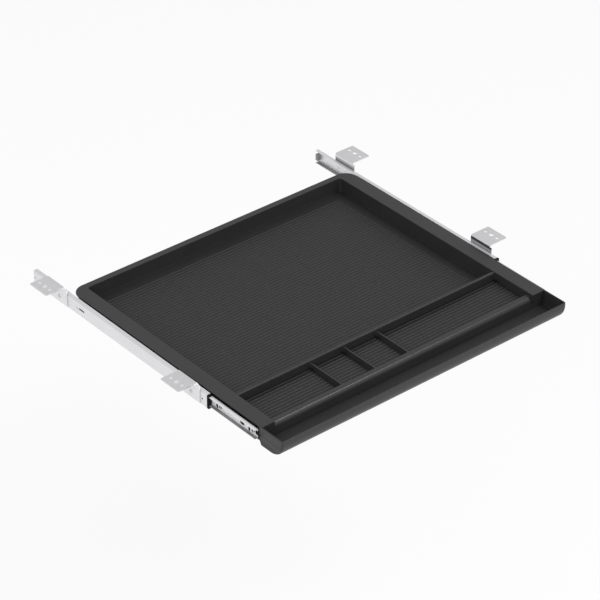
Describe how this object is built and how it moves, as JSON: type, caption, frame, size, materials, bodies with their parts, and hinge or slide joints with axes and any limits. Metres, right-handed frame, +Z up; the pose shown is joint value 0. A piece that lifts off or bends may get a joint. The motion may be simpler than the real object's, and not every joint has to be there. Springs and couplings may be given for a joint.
{
  "type": "center desk drawer",
  "caption": "Shallow moulded pencil drawer with divided front wells and a finger scoop, on ball-bearing side slides hung under a desktop by angle brackets.",
  "frame": {"origin": "centre of the mounting plane: on top of the bracket flanges, in the middle of the four brackets' centre holes; the drawer is stored 113 mm open, as pictured", "axes": "+X to the right seen from the front, +Y to the back of the desk, +Z up towards the desktop"},
  "size_m": [0.6868, 0.6265, 0.0466],
  "materials": {
    "tray_plastic": "fine satin grain, charcoal black",
    "slide_zinc": "bright zinc plate",
    "retainer_steel": "plain rolled strip",
    "ball_steel": "polished",
    "guide_plastic": "smooth moulded, black",
    "bumper_rubber": "soft, dark grey",
    "bracket_zinc": "bright zinc plate",
    "fastener_steel": "bright zinc plate"
  },
  "bodies": {
    "frame": {"outer_member_left": "slide_zinc", "outer_member_right": "slide_zinc", "front_guide_left": "guide_plastic", "front_guide_right": "guide_plastic", "rear_bumper_left": "bumper_rubber", "rear_bumper_right": "bumper_rubber", "bracket_left_front": "bracket_zinc", "bracket_left_rear": "bracket_zinc", "bracket_right_front": "bracket_zinc", "bracket_right_rear": "bracket_zinc", "bracket_rivets_left": "fastener_steel", "bracket_rivets_right": "fastener_steel"},
    "drawer": {"tray": "tray_plastic", "inner_member_left": "slide_zinc", "inner_member_right": "slide_zinc", "tray_screws_left": "fastener_steel", "tray_screws_right": "fastener_steel"},
    "retainer_left": {"ball_retainer_left": "retainer_steel", "bearing_balls_left": "ball_steel"},
    "retainer_right": {"ball_retainer_right": "retainer_steel", "bearing_balls_right": "ball_steel"}
  },
  "joints": [
    {"name": "drawer_slide", "type": "slide", "parent": "frame", "child": "drawer", "axis": [0, -1, 0], "range_m": [-0.113, 0.227]},
    {"name": "retainer_left_slide", "type": "slide", "parent": "frame", "child": "retainer_left", "axis": [0, -1, 0], "range_m": [-0.0565, 0.1135]},
    {"name": "retainer_right_slide", "type": "slide", "parent": "frame", "child": "retainer_right", "axis": [0, -1, 0], "range_m": [-0.0565, 0.1135]}
  ],
  "couplings": [
    {"joint": "retainer_left_slide", "follows": "drawer_slide", "ratio": 0.5},
    {"joint": "retainer_right_slide", "follows": "drawer_slide", "ratio": 0.5}
  ]
}
